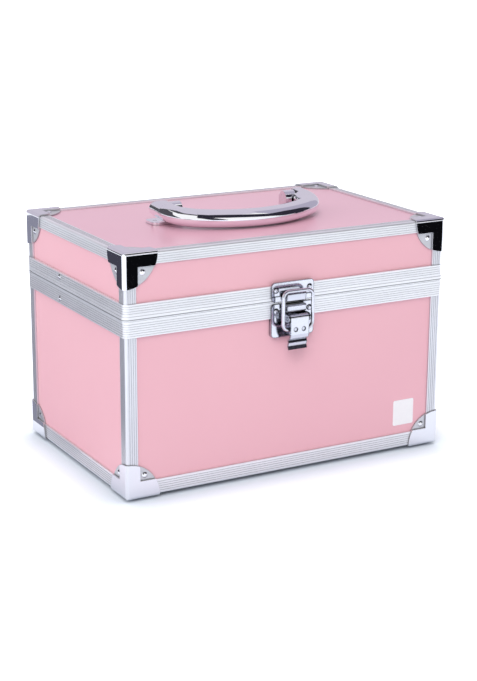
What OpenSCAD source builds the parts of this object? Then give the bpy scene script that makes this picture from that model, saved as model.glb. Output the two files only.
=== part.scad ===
// Aluminium-framed makeup storage case with a swing handle.
// Origin: centre of the bounding box on the floor. X runs along the width, Y to the back, Z up.

/* [Case] */
// Width over the edge profiles
case_w = 240; // [200:1:320]
// Depth over the edge profiles
case_d = 157; // [140:1:220]
// Height of the body from the underside of its rails to the seam
body_h = 117; // [90:1:200]
// Height of the lid from the seam to the top of its rails
lid_h = 43; // [40:1:80]
// Height of the feet below the bottom rails
foot_h = 2.5; // [2:0.5:8]
// Gap between the body rim and the lid rim
seam_gap = 0.3; // [0.2:0.1:0.6]
// Thickness of the covered boards
panel_t = 4; // [3:0.5:6]
// Thickness of the padded lining
lining_t = 1.5; // [1:0.1:3]

/* [Edge profiles] */
// Outer wall of the extruded edge profiles
profile_t = 1.2; // [1:0.1:2]
// Inner wall of the extruded edge profiles
inner_t = 1; // [0.8:0.1:1.5]
// How far the inner walls reach past the hollow cell
inner_reach = 1.8; // [1:0.1:3]
// Radius of the outer edge of the profiles
profile_r = 1.6; // [1:0.1:2]
// Upright leg of the bottom rails
bottom_side_leg = 10; // [9:0.5:14]
// Level leg of the bottom rails
bottom_flat_leg = 8; // [7:0.5:12]
// Upright leg of the top rails
top_side_leg = 8; // [8:0.5:12]
// Level leg of the top rails
top_flat_leg = 7; // [7:0.5:12]
// Both legs of the corner posts
post_leg = 8; // [8:0.5:12]
// Width of one groove of the reeding
reed_w = 0.6; // [0.4:0.1:1]
// Depth of one groove of the reeding
reed_depth = 0.3; // [0.1:0.1:0.5]
// Distance from one groove of the reeding to the next
reed_pitch = 1.5; // [1.2:0.1:2.5]

/* [Rims] */
// Height of the band round the body's mouth
body_band_h = 10.5; // [9.5:0.5:16]
// Height of the band round the lid's mouth
lid_band_h = 10.7; // [10.5:0.1:16]
// How far the bands stand proud of the edge profiles
band_proud = 0.8; // [0.4:0.1:1.5]
// Corner radius of the bent rims
rim_r = 3; // [2:0.5:8]
// Thickness of the rim where it caps the boards
rim_web = 2; // [1.8:0.1:3]
// Depth of the rim's inner wall
rim_inner_h = 5; // [4:0.1:5.2]
// Distance of the sealing tongue from the outer face
tongue_inset = 2.3; // [2:0.1:2.6]
// Thickness of the sealing tongue
tongue_t = 1.3; // [1:0.1:1.5]
// Height of the sealing tongue
tongue_h = 1.2; // [0.8:0.1:1.3]
// Clearance of the tongue in its groove, each way
tongue_gap = 0.35; // [0.3:0.05:0.5]
// Height of the bead along the lid's mouth
bead_h = 2.8; // [1.5:0.1:3.2]
// How far the bead stands proud of the band
bead_out = 0.5; // [0.3:0.1:0.8]

/* [Corner caps] */
// Radius of each face of a corner cap about its corner
cap_reach = 22.8; // [21:0.1:30]
// Sheet thickness of the caps
cap_t = 1; // [0.8:0.1:1.4]
// Radius of the caps' outer edges
cap_r = 2.2; // [1.5:0.1:3]
// Distance of each cap rivet from the step round its web
cap_rivet_in = 3.5; // [2.5:0.1:4.5]

/* [Rivets] */
// Radius of the rivet heads
rivet_head_r = 2.1; // [1.6:0.1:2.4]
// Height of the rivet heads
rivet_head_h = 0.9; // [0.5:0.1:1]
// Radius of the rivet shanks
rivet_r = 1.4; // [1:0.1:1.5]
// Clearance round a shank that is held fast
rivet_gap = 0.05; // [0.02:0.01:0.1]

/* [Feet] */
// Radius of a foot where it stands
foot_r = 5; // [4:0.5:8]
// How much wider a foot is at its root
foot_flare = 1; // [0:0.1:2]
// Distance of the feet from the sides of the case
foot_inset_x = 32; // [31:1:60]
// Distance of the feet from the front and back of the case
foot_inset_y = 32; // [31:1:50]

/* [Handle] */
// How far the handle's pivots lie behind the middle of the case
handle_back = 2.5; // [0:0.5:6]
// Distance from the middle of the handle to the middle of each end
bow_half_span = 53; // [48:1:70]
// How far the middle of the bow lies in front of the pivots
bow_reach = 40; // [36:1:50]
// Straight length next to each pivot
bow_straight = 8; // [4:0.5:12]
// Radius of the bow's shoulders
bow_shoulder_r = 24; // [18:1:26]
// Width of the grip seen from above
grip_w = 14.5; // [12:0.5:18]
// Height of the grip
grip_h = 11.5; // [9:0.5:12]
// Edge radius of the grip's section
grip_r = 5.6; // [3:0.1:5.6]
// How far the ends reach behind the pivots
bow_tail = 6.2; // [5:0.1:7]
// Height of the pivots above the lid's board
pivot_h = 9; // [9:0.1:12]
// Gap between the resting grip and the lid's board
grip_rest_gap = 0.5; // [0.4:0.1:1]
// Width of a bracket tower
tower_w = 8.5; // [7:0.5:10]
// Radius of a bracket tower's round top
tower_r = 5; // [4.5:0.1:6]
// Gap between a bracket tower and the grip
tower_gap = 0.4; // [0.3:0.1:1]
// How far the grip's end is cut flat beside its tower
end_flat = 3.7; // [3:0.1:5]
// Thickness of a bracket's foot plate
foot_plate_t = 2; // [1.5:0.1:2.5]
// Depth of a bracket's foot plate from front to back
foot_plate_d = 15; // [13:0.5:20]
// Length of a bracket's foot plate outside its tower
foot_plate_out = 13; // [10:0.5:16]
// Radius of the handle pins
handle_pin_r = 2; // [1.5:0.1:2.5]
// Length of a handle pin inside the grip
handle_pin_in = 8; // [6:0.5:9]
// Clearance of every pin that something turns on
run_gap = 0.08; // [0.03:0.01:0.1]

/* [Latch] */
// Width of the latch plates
latch_w = 32; // [28:0.5:40]
// Sheet thickness of the latch plates
latch_t = 1; // [0.8:0.1:1.2]
// Top edge of the strike plate above the seam
strike_top = 13.2; // [11.5:0.1:14]
// Bottom edge of the latch base below the seam
base_bottom = 23.6; // [23:0.1:28]
// Corner radius of the latch plates
latch_r = 2.5; // [1:0.1:3.5]
// Width of the strike's nose and of the boss below it
nose_w = 14.4; // [10:0.1:15]
// Top of the nose above the seam
nose_top = 6.4; // [5:0.1:6.6]
// Bottom of the nose above the seam
nose_low = 0.4; // [0.3:0.1:1]
// How far the nose and the boss stand out from the band
nose_out = 6.3; // [4:0.1:6.6]
// Top of the latch base's boss below the seam
boss_top = 1.5; // [1.3:0.1:2]
// Bottom of the latch base's boss below the seam
boss_low = 6.2; // [4.5:0.1:6.6]
// How far the nose leans in towards its lower edge
nose_lean = 0.8; // [0:0.1:1.5]
// Outer width of the hasp
hasp_w = 24.6; // [23:0.1:27]
// Top of the hasp above the seam
hasp_top = 9.4; // [9.2:0.1:11]
// Radius of the wire that the hasp is bent from
hasp_wire_r = 1.2; // [1:0.05:1.25]
// Bend radius of the hasp's corners, to the middle of the wire
hasp_r = 4; // [2:0.1:4.2]
// Gap between the nose and the hasp in front of it
hasp_gap = 0.3; // [0.3:0.1:0.6]
// Depth of the hasp's lower bar below the seam
hasp_bar_z = 17.3; // [17:0.1:18.5]
// Width of the lever
lever_w = 14; // [12:0.1:14.2]
// Sheet thickness of the lever
lever_t = 1; // [0.8:0.1:1.2]
// Outer radius of the lever's curl
curl_r = 2.7; // [2.4:0.1:2.8]
// Radius of the lever's pin
lever_pin_r = 1.2; // [0.8:0.1:1.3]
// Depth of the lever's pin below the seam
lever_pin_z = 9.8; // [9.4:0.1:10.4]
// Depth below the seam at which the lever's plate bends inwards
lever_bend = 20.6; // [20.2:0.1:22]
// Height of the finger tab
tab_h = 4.7; // [3.5:0.1:6]
// How far the finger tab lies behind the lever's plate
tab_in = 2.3; // [1.5:0.1:3]
// Thickness of the latch base's cheeks
cheek_t = 0.8; // [0.6:0.1:0.9]

/* [Hinges] */
// Distance of each hinge from the middle of the case
hinge_x = 70; // [40:1:80]
// Length of a hinge
hinge_len = 30; // [24:1:40]
// Radius of the knuckles
knuckle_r = 2.4; // [2:0.1:2.6]
// Gap between the knuckles and the bands
knuckle_gap = 0.4; // [0.3:0.1:0.6]
// Radius of the hinge pins
hinge_pin_r = 1.2; // [0.8:0.1:1.4]
// Sheet thickness of the hinge leaves
leaf_t = 1; // [0.8:0.1:1.2]
// Height of a hinge leaf from the seam
leaf_h = 9.6; // [8.5:0.1:10]

/* [Tray] */
// Distance of the tray's two pivots from the back of the case
link_y = 56.5; // [50:0.5:66]
// Height of the lid's link pivot above the seam
link_up = 8; // [7.5:0.1:8.4]
// Depth of the arm's pivot below the seam
link_down = 7.1; // [7:0.1:7.6]
// Depth of the tray from front to back
tray_d = 110; // [90:1:112]
// Distance from the tray's front to the case's front face
tray_front = 10.5; // [9.5:0.5:14]
// Top of the tray above the seam
tray_top = 4; // [2:0.5:4.5]
// Depth of the tray
tray_h = 32; // [24:1:32]
// Wall thickness of the tray
tray_wall = 1.8; // [1.2:0.1:2.5]
// Depth of the grooves that the tray's dividers slide into
divider_slot = 0.5; // [0.3:0.1:0.55]
// Clearance round the tray's dividers
divider_gap = 0.1; // [0.05:0.05:0.2]
// Number of compartments in the tray's front row
front_cells = 3; // [1:1:6]
// Number of compartments in the tray's back row
back_cells = 5; // [1:1:8]
// Depth of the tray's front row
front_row_d = 48; // [36:1:56]
// Thickness of the tray's arms
arm_t = 1.5; // [1.2:0.1:1.6]
// Width of the tray's arms
arm_w = 9; // [7:0.5:10]
// Gap between the lining and the arms
arm_side_gap = 1.2; // [1.1:0.1:1.5]
// Gap between the arms and the tray
arm_tray_gap = 2.2; // [2:0.1:2.6]
// Radius of the flat heads inside the case
flat_head_r = 3; // [2.2:0.1:3.4]

/* [Mirror] */
// Width of the mirror in the lid
mirror_w = 170; // [100:1:180]
// Depth of the mirror in the lid
mirror_d = 96; // [70:1:100]
// Thickness of the mirror
mirror_t = 2.5; // [2:0.1:3]
// Corner radius of the mirror
mirror_r = 6; // [2:0.5:12]

/* [Hidden] */
$fn = 48;

PINK = [0.93, 0.66, 0.73];
SILVER = [0.80, 0.81, 0.84];
CHROME = [0.90, 0.90, 0.92];
LINING = [0.20, 0.20, 0.22];
BLACK = [0.08, 0.08, 0.09];
WHITE = [0.95, 0.92, 0.93];
GLASS = [0.75, 0.85, 0.88];

// Levels
base_z = foot_h;
seam_z = base_z + body_h;
top_z = seam_z + lid_h;
body_mouth_z = seam_z - seam_gap / 2;
lid_mouth_z = seam_z + seam_gap / 2;
// Depth of the edge profiles' hollow cell with both of its walls
cell = profile_t + panel_t + inner_t;
lining_in = cell + lining_t;
// Reach of the latch and the hinges beyond the case, and the shift that centres the whole
lever_face = nose_out + hasp_gap + hasp_wire_r + curl_r;
front_reach = band_proud + lever_face;
back_reach = band_proud + knuckle_gap + 2 * knuckle_r;
case_y = (front_reach - back_reach) / 2;
// Cuts run this far past the faces that they open
cut = 1;

// Handle
bow_rise = bow_reach - bow_straight - bow_shoulder_r;
bow_side = bow_half_span - bow_shoulder_r;
bow_front_r = bow_shoulder_r + (bow_side * bow_side + bow_rise * bow_rise) / (2 * bow_rise);
bow_angle = asin(bow_side / (bow_front_r - bow_shoulder_r));
bow_drop = asin((pivot_h - grip_h / 2 - grip_rest_gap) / bow_reach);
pivot_z = top_z - profile_t + pivot_h;
end_in_x = bow_half_span - end_flat;
tower_out_x = end_in_x - tower_gap;
tower_in_x = tower_out_x - tower_w;
foot_plate_end = tower_out_x + foot_plate_out;
bow_step = 0.02;
bow_lap = 0.2;

// Latch, as distances out from the band and heights from the seam
hasp_out = nose_out + hasp_gap + hasp_wire_r;
hasp_low = -hasp_bar_z - hasp_wire_r;
cheek_in = lever_w / 2 + 0.4;
clip_r = hasp_wire_r + run_gap + 0.8;
clip_x = 3;
clip_w = 2.5;
clip_mark_r = 1.4;
clip_mark_depth = 0.5;
wire_step = 0.02;
wire_lap = 0.2;
wire_turn = 0.5;
latch_rivet_x = latch_w / 2 - 3.4;

// Hinges
hinge_out = knuckle_gap + knuckle_r;
knuckle_len = hinge_len / 5;
knuckle_space = 0.3;

// Tray linkage
link_pos_y = case_d / 2 - link_y;
hinge_pos_y = case_d / 2 + band_proud + hinge_out;
arm_end_y = 2 * link_pos_y - hinge_pos_y;
arm_end_up = link_up - link_down;
side_in_x = case_w / 2 - lining_in;
arm_out_x = side_in_x - arm_side_gap;
arm_in_x = arm_out_x - arm_t;
tray_side_x = arm_in_x - arm_tray_gap;
tray_y0 = -case_d / 2 + tray_front;
tray_z1 = seam_z + tray_top;
tray_z0 = tray_z1 - tray_h;
tray_floor_z = tray_z0 + tray_wall;
tray_in_w = 2 * (tray_side_x - tray_wall);
divider_y = tray_y0 + tray_wall + front_row_d;
band_x = case_w / 2 + band_proud;
boss_r = 4;
washer_gap = 0.3;

// ---------- helpers ----------

module at_case() {
    translate([0, case_y, 0]) children();
}

// Turns a piece modelled on the front face (y = 0 there, inwards +y) to a side of the case
module on_side(side) {
    angle = side == "front" ? 0 : side == "right" ? 90 : side == "back" ? 180 : -90;
    half = side == "front" || side == "back" ? case_d / 2 : case_w / 2;
    rotate([0, 0, angle]) translate([0, -half, 0]) children();
}

function side_len(side) = side == "front" || side == "back" ? case_w : case_d;

module both_sides() {
    for (m = [0, 1]) mirror([m, 0, 0]) children();
}

module four_corners() {
    for (mx = [0, 1], my = [0, 1]) mirror([mx, 0, 0]) mirror([0, my, 0]) children();
}

module rounded_rect(w, d, r) {
    square([w - 2 * r, d], center = true);
    square([w, d - 2 * r], center = true);
    for (x = [-1, 1], y = [-1, 1]) translate([x * (w / 2 - r), y * (d / 2 - r)]) circle(r);
}

// Plan of the case at a distance inside its outer faces
module inset_plan(inset) {
    rounded_rect(case_w - 2 * inset, case_d - 2 * inset, max(rim_r - inset, 0.6));
}

module ring(outer, inner, h) {
    linear_extrude(h) difference() {
        inset_plan(outer);
        inset_plan(inner);
    }
}

// The bit that rounding takes off a square corner at the origin
module corner_bit(r) {
    difference() {
        translate([-cut, -cut]) square(r + cut);
        translate([r, r]) circle(r);
    }
}

module rod_x(x0, x1, y, z, r) {
    translate([x0, y, z]) rotate([0, 90, 0]) cylinder(r = r, h = x1 - x0);
}

// A rivet that seats at z = 0 with its shank below
module rivet(shank_l, head_r = rivet_head_r, head_h = rivet_head_h) {
    dome_r = (head_r * head_r + head_h * head_h) / (2 * head_h);
    rotate_extrude() intersection() {
        translate([0, head_h - dome_r]) circle(dome_r);
        square([head_r, head_h]);
    }
    translate([0, 0, -shank_l]) cylinder(r = rivet_r, h = shank_l);
}

// ---------- edge profiles ----------

function reeds(leg) = [for (p = [profile_r + 0.5 : reed_pitch : leg - reed_w - 0.5]) p];

// Section of an edge profile: two walls with a slot for a board on each leg, and a hollow cell
module edge_section(side_leg, flat_leg) {
    inner = profile_t + panel_t;
    difference() {
        union() {
            square([profile_t, side_leg]);
            square([flat_leg, profile_t]);
            square(cell);
            translate([inner, 0]) square([inner_t, cell + inner_reach]);
            translate([0, inner]) square([cell + inner_reach, inner_t]);
        }
        translate([profile_t, profile_t]) square(panel_t);
        corner_bit(profile_r);
        for (v = reeds(side_leg)) translate([-cut, v]) square([cut + reed_depth, reed_w]);
        for (u = reeds(flat_leg)) translate([u, -cut]) square([reed_w, cut + reed_depth]);
    }
}

// A rail along the front, its outer edge on the X axis, with both ends mitred
module mitred_rail(length, side_leg, flat_leg) {
    wide = max(flat_leg, cell + inner_reach) + cut;
    high = max(side_leg, cell + inner_reach) + cut;
    intersection() {
        rotate([90, 0, 90]) linear_extrude(length, center = true) edge_section(side_leg, flat_leg);
        translate([0, 0, -cut]) linear_extrude(high + 2 * cut)
            polygon([[-length / 2, 0], [length / 2, 0],
                     [length / 2 - wide, wide], [-length / 2 + wide, wide]]);
    }
}

module bottom_rail(side) {
    color(SILVER) at_case() on_side(side) translate([0, 0, base_z])
        mitred_rail(side_len(side), bottom_side_leg, bottom_flat_leg);
}

module top_rail(side) {
    color(SILVER) at_case() on_side(side) translate([0, 0, top_z]) mirror([0, 0, 1])
        mitred_rail(side_len(side), top_side_leg, top_flat_leg);
}

module posts(z0, z1) {
    color(SILVER) at_case() four_corners() translate([-case_w / 2, -case_d / 2, z0])
        linear_extrude(z1 - z0) edge_section(post_leg, post_leg);
}

module body_corner_posts() {
    posts(base_z + bottom_side_leg, body_mouth_z - body_band_h);
}

module lid_corner_posts() {
    posts(lid_mouth_z + lid_band_h, top_z - top_side_leg);
}

// ---------- rims ----------

// Grooves along a band that starts at z = 0
module band_reeds(band_h, z_from) {
    for (z = [z_from : reed_pitch : band_h - reed_w - 0.6]) translate([0, 0, z])
        ring(-band_proud - cut, -band_proud + reed_depth, reed_w);
}

// A rim that opens downwards, its mouth at z = 0 and its band below
module rim_channel(band_h) {
    translate([0, 0, -band_h]) ring(-band_proud, profile_t, band_h);
    translate([0, 0, -rim_web]) ring(-band_proud, cell, rim_web);
    translate([0, 0, -rim_inner_h]) ring(profile_t + panel_t, cell, rim_inner_h);
}

// Keeps what lies in front of the back run
module not_at_back() {
    back = case_d / 2 - cell - rim_r;
    intersection() {
        children();
        translate([-case_w, -case_d, -case_d]) cube([2 * case_w, case_d + back, 2 * case_d]);
    }
}

module rim_rivet_holes(up) {
    on_side("front") for (x = [-1, 1])
        translate([x * latch_rivet_x, 0, up ? latch_rivet_up() : -latch_rivet_down()])
            rotate([90, 0, 0]) cylinder(r = rivet_r + rivet_gap, h = 8, center = true);
    on_side("back") for (x = hinge_rivet_xs())
        translate([x, 0, up ? hinge_rivet_z() : -hinge_rivet_z()])
            rotate([90, 0, 0]) cylinder(r = rivet_r + rivet_gap, h = 8, center = true);
}

module body_rim() {
    color(SILVER) at_case() difference() {
        translate([0, 0, body_mouth_z]) union() {
            difference() {
                rim_channel(body_band_h);
                translate([0, 0, -body_band_h]) band_reeds(body_band_h, 1);
            }
            not_at_back() ring(tongue_inset, tongue_inset + tongue_t, tongue_h);
        }
        translate([0, 0, seam_z]) rim_rivet_holes(false);
        both_sides() link_hole(-link_down);
    }
}

module lid_rim() {
    color(SILVER) at_case() difference() {
        translate([0, 0, lid_mouth_z]) mirror([0, 0, 1]) difference() {
            union() {
                rim_channel(lid_band_h);
                not_at_back() translate([0, 0, -bead_h])
                    ring(-band_proud - bead_out, 0, bead_h);
            }
            translate([0, 0, -lid_band_h]) band_reeds(lid_band_h - bead_h, 1);
            tongue_groove();
        }
        translate([0, 0, seam_z]) rim_rivet_holes(true);
        both_sides() link_hole(link_up);
    }
}

module tongue_groove() {
    depth = tongue_h - seam_gap + tongue_gap;
    back = case_d / 2 - cell - rim_r + tongue_gap;
    translate([0, 0, -depth]) intersection() {
        ring(tongue_inset - tongue_gap, tongue_inset + tongue_t + tongue_gap, depth + cut);
        translate([-case_w, -case_d, -cut]) cube([2 * case_w, case_d + back, depth + 3 * cut]);
    }
}

// ---------- boards ----------

// Holes for the corner caps' rivets in an upright board
module cap_holes(side, z) {
    for (m = [0, 1]) mirror([m, 0, 0])
        translate([side_len(side) / 2 - cap_rivet(post_leg), 0, z]) rotate([-90, 0, 0])
            cylinder(r = rivet_r + rivet_gap, h = cell);
}

module wall_board(side, z0, z1, rivet_z) {
    w = side_len(side) - 2 * cell;
    color(PINK) at_case() difference() {
        on_side(side) difference() {
            translate([-w / 2, profile_t, z0]) cube([w, panel_t, z1 - z0]);
            cap_holes(side, rivet_z);
        }
        if (side == "left" || side == "right") both_sides() {
            link_hole(link_up);
            link_hole(-link_down);
        }
    }
}

module body_board(side) {
    wall_board(side, base_z + cell, body_mouth_z - rim_web, base_z + cap_rivet(bottom_side_leg));
}

module lid_board(side) {
    wall_board(side, lid_mouth_z + rim_web, top_z - cell, top_z - cap_rivet(top_side_leg));
}

module level_board(z0, flat_leg) {
    translate([-case_w / 2 + cell, -case_d / 2 + cell, z0]) difference() {
        cube([case_w - 2 * cell, case_d - 2 * cell, panel_t]);
        translate([case_w / 2 - cell, case_d / 2 - cell, 0]) four_corners()
            translate([case_w / 2 - cap_rivet(flat_leg), case_d / 2 - cap_rivet(flat_leg), -cut])
                cylinder(r = rivet_r + rivet_gap, h = panel_t + 2 * cut);
    }
}

module front_panel() { body_board("front"); }
module back_panel() { body_board("back"); }
module left_panel() { body_board("left"); }
module right_panel() { body_board("right"); }
module lid_front_panel() { lid_board("front"); }
module lid_back_panel() { lid_board("back"); }
module lid_left_panel() { lid_board("left"); }
module lid_right_panel() { lid_board("right"); }

module bottom_panel() {
    color(PINK) at_case() level_board(base_z + profile_t, bottom_flat_leg);
}

module lid_top_panel() {
    color(PINK) at_case() difference() {
        level_board(top_z - profile_t - panel_t, top_flat_leg);
        handle_screw_places() translate([0, 0, -panel_t - cut])
            cylinder(r = rivet_r + rivet_gap, h = panel_t + 2 * cut);
    }
}

// ---------- linings and mirror ----------

// A lining shell with its closed side at z = 0
module lining_shell(h) {
    difference() {
        linear_extrude(h) inset_plan(cell);
        translate([0, 0, lining_t]) linear_extrude(h)
            rounded_rect(case_w - 2 * lining_in, case_d - 2 * lining_in, rim_r);
    }
}

module body_lining() {
    color(LINING) at_case() difference() {
        translate([0, 0, base_z + cell]) lining_shell(body_mouth_z - 0.5 - base_z - cell);
        both_sides() link_hole(-link_down);
    }
}

module lid_lining() {
    color(LINING) at_case() difference() {
        translate([0, 0, top_z - cell]) mirror([0, 0, 1])
            lining_shell(top_z - cell - lid_mouth_z - 0.5);
        both_sides() link_hole(link_up);
    }
}

module mirror_plate() {
    bevel = 0.8;
    translate([0, 0, bevel]) linear_extrude(mirror_t - bevel)
        rounded_rect(mirror_w, mirror_d, mirror_r);
    linear_extrude(bevel) rounded_rect(mirror_w - 2 * bevel, mirror_d - 2 * bevel, mirror_r - bevel);
}

module lid_mirror() {
    color(GLASS) at_case() translate([0, 0, top_z - lining_in - mirror_t]) mirror_plate();
}

// ---------- corner caps ----------

// Distance of a cap rivet from the corner, past a profile leg
function cap_rivet(leg) = leg + cap_t + cap_rivet_in;

module cap_outline() {
    intersection() {
        circle(cap_reach);
        translate([-cap_t, -cap_t]) square(cap_reach + 2 * cap_t);
    }
}

// The strip of a cap that lies along the profile legs, out to a distance past them
module cap_strips(leg_a, leg_b, past) {
    square([2 * (cap_reach + cap_t), 2 * (leg_b + past)], center = true);
    square([2 * (leg_a + past), 2 * (cap_reach + cap_t)], center = true);
}

// One face of a cap: raised over the profile legs, pressed down to the board between them
module cap_face(leg_a, leg_b) {
    linear_extrude(cap_t) intersection() {
        cap_outline();
        cap_strips(leg_a, leg_b, cap_t);
    }
    translate([0, 0, -profile_t]) linear_extrude(profile_t + cap_t) intersection() {
        cap_outline();
        difference() {
            cap_strips(leg_a, leg_b, cap_t);
            cap_strips(leg_a, leg_b, 0);
        }
    }
    translate([0, 0, -profile_t]) linear_extrude(cap_t) difference() {
        intersection() {
            cap_outline();
            translate([leg_a, leg_b]) square(cap_reach);
        }
        translate([cap_rivet(leg_a), cap_rivet(leg_b)]) circle(rivet_r + rivet_gap);
    }
}

// Lays a face piece (outwards +z) on each of the three faces that meet at the origin
module on_bottom_face() { mirror([0, 0, 1]) children(); }
module on_front_face() { rotate([90, 0, 0]) children(); }
module on_left_face() { mirror([1, 0, 0]) rotate([0, 0, 90]) rotate([90, 0, 0]) children(); }

module corner_cap(side_leg, flat_leg) {
    difference() {
        union() {
            on_bottom_face() cap_face(flat_leg, flat_leg);
            on_front_face() cap_face(post_leg, side_leg);
            on_left_face() cap_face(post_leg, side_leg);
        }
        translate([-cap_t, -cap_t, -cap_t - cut]) linear_extrude(cap_reach + 4 * cut) corner_bit(cap_r);
        translate([-cap_t - cut, -cap_t, -cap_t]) rotate([90, 0, 90])
            linear_extrude(cap_reach + 4 * cut) corner_bit(cap_r);
        translate([-cap_t, cap_reach + 3 * cut, -cap_t]) rotate([90, 0, 0])
            linear_extrude(cap_reach + 6 * cut) corner_bit(cap_r);
    }
}

module cap_rivet_trio(side_leg, flat_leg) {
    seat = cap_t - profile_t;
    on_bottom_face() translate([cap_rivet(flat_leg), cap_rivet(flat_leg), seat])
        rivet(cap_t + panel_t);
    on_front_face() translate([cap_rivet(post_leg), cap_rivet(side_leg), seat])
        rivet(cap_t + panel_t);
    on_left_face() translate([cap_rivet(post_leg), cap_rivet(side_leg), seat])
        rivet(cap_t + panel_t);
}

module bottom_cap(right, back) {
    color(CHROME) at_case() mirror([right, 0, 0]) mirror([0, back, 0])
        translate([-case_w / 2, -case_d / 2, base_z]) corner_cap(bottom_side_leg, bottom_flat_leg);
}

module top_cap(right, back) {
    color(CHROME) at_case() mirror([right, 0, 0]) mirror([0, back, 0])
        translate([-case_w / 2, -case_d / 2, top_z]) mirror([0, 0, 1])
            corner_cap(top_side_leg, top_flat_leg);
}

module bottom_cap_rivets() {
    color(CHROME) at_case() four_corners() translate([-case_w / 2, -case_d / 2, base_z])
        cap_rivet_trio(bottom_side_leg, bottom_flat_leg);
}

module top_cap_rivets() {
    color(CHROME) at_case() four_corners() translate([-case_w / 2, -case_d / 2, top_z])
        mirror([0, 0, 1]) cap_rivet_trio(top_side_leg, top_flat_leg);
}

// ---------- feet ----------

module feet() {
    color(BLACK) at_case() four_corners()
        translate([case_w / 2 - foot_inset_x, case_d / 2 - foot_inset_y, 0])
            cylinder(r1 = foot_r, r2 = foot_r + foot_flare, h = base_z + profile_t);
}

// ---------- hinges ----------

function hinge_rivet_z() = leaf_h * 0.62;
function hinge_rivet_xs() = [for (h = [-1, 1], s = [-1, 1]) h * hinge_x + s * hinge_len * 0.3];

// Places a hinge on the back, with its pin along X through the origin and the case at +y
module at_hinges() {
    at_case() on_side("back") for (h = [-1, 1])
        translate([h * hinge_x, -band_proud - hinge_out, seam_z]) children();
}

module knuckles(first, r, space) {
    for (k = [first : 2 : 4])
        translate([-hinge_len / 2 + k * knuckle_len + space, 0, 0]) rotate([0, 90, 0])
            cylinder(r = r, h = knuckle_len - 2 * space);
}

// A leaf that rises from the pin; the first of its knuckles is number "first"
module hinge_leaf(first) {
    low = seam_gap / 2 + 0.25;
    difference() {
        union() {
            translate([-hinge_len / 2, hinge_out - leaf_t, low])
                cube([hinge_len, leaf_t, leaf_h - low]);
            knuckles(first, knuckle_r, knuckle_space / 2);
            for (k = [first : 2 : 4])
                translate([-hinge_len / 2 + k * knuckle_len + knuckle_space / 2, 0, low])
                    cube([knuckle_len - knuckle_space, hinge_out, knuckle_r - low]);
        }
        knuckles(1 - first, knuckle_r + 0.35, -knuckle_space / 2);
        rod_x(-hinge_len, hinge_len, 0, 0, hinge_pin_r + run_gap);
        for (s = [-1, 1]) translate([s * hinge_len * 0.3, 0, hinge_rivet_z()])
            rotate([-90, 0, 0]) cylinder(r = rivet_r + rivet_gap, h = 2 * hinge_out);
    }
}

module hinge_lid_leaves() {
    color(CHROME) at_hinges() hinge_leaf(1);
}

module hinge_body_leaves() {
    color(CHROME) at_hinges() mirror([0, 0, 1]) hinge_leaf(0);
}

module hinge_pins() {
    color(CHROME) at_hinges() rod_x(-hinge_len / 2, hinge_len / 2, 0, 0, hinge_pin_r);
}

module hinge_rivets(up) {
    color(CHROME) at_hinges() for (s = [-1, 1])
        translate([s * hinge_len * 0.3, hinge_out - leaf_t, up ? hinge_rivet_z() : -hinge_rivet_z()])
            rotate([90, 0, 0]) rivet(leaf_t + band_proud + profile_t);
}

// ---------- latch ----------

function latch_rivet_up() = (strike_top + bead_h + seam_gap) / 2;
function latch_rivet_down() = body_band_h / 2 + 0.6;

// Places a latch piece: x along the front, y = minus the distance out from the band, z from the seam
module at_latch() {
    at_case() on_side("front") translate([0, -band_proud, seam_z]) children();
}

// Extrudes an outline drawn in x and z, from one distance out to another
module slab(out0, out1) {
    translate([0, -out0, 0]) rotate([90, 0, 0]) linear_extrude(out1 - out0) children();
}

// Extrudes an outline drawn as (distance out, height) along the width
module along_width(w) {
    rotate([90, 0, -90]) linear_extrude(w, center = true) children();
}

module plate_outline(z0, z1) {
    translate([0, (z0 + z1) / 2]) rounded_rect(latch_w, z1 - z0, latch_r);
}

module latch_rivet_holes(z) {
    for (x = [-1, 1]) translate([x * latch_rivet_x, 0, z]) rotate([90, 0, 0])
        cylinder(r = rivet_r + rivet_gap, h = 8, center = true);
}

// A strip pressed out of a plate, from one height to another, its lower edge leaning in
module pressed_nose(low, high, lean) {
    bend = 0.8;
    along_width(nose_w) polygon([
        [latch_t / 2, high], [nose_out - bend, high], [nose_out, high - bend],
        [nose_out - lean, low + bend], [nose_out - lean - bend, low], [latch_t / 2, low],
        [latch_t / 2, low + latch_t], [nose_out - lean - latch_t, low + latch_t],
        [nose_out - latch_t, high - latch_t], [latch_t / 2, high - latch_t]
    ]);
}

module strike_plate() {
    low = seam_gap / 2 + 0.15;
    bead_z = seam_gap / 2 + bead_h;
    color(CHROME) at_latch() difference() {
        union() {
            slab(0, latch_t) intersection() {
                plate_outline(low, strike_top);
                translate([-latch_w, bead_z]) square([2 * latch_w, strike_top]);
            }
            slab(bead_out, bead_out + latch_t) intersection() {
                plate_outline(low, strike_top);
                translate([-latch_w, 0]) square([2 * latch_w, bead_z + latch_t]);
            }
            pressed_nose(nose_low, nose_top, nose_lean);
        }
        latch_rivet_holes(latch_rivet_up());
    }
}

module strike_rivets() {
    color(CHROME) at_latch() for (x = [-1, 1])
        translate([x * latch_rivet_x, -latch_t, latch_rivet_up()]) rotate([90, 0, 0])
            rivet(latch_t + band_proud + profile_t);
}

module latch_base_rivets() {
    color(CHROME) at_latch() for (x = [-1, 1])
        translate([x * latch_rivet_x, -latch_t, -latch_rivet_down()]) rotate([90, 0, 0])
            rivet(latch_t + band_proud + profile_t);
}

module cheek_section() {
    translate([latch_t / 2, -lever_pin_z - curl_r]) square([hasp_out - latch_t / 2, 2 * curl_r]);
    translate([hasp_out, -lever_pin_z]) circle(curl_r);
}

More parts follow.
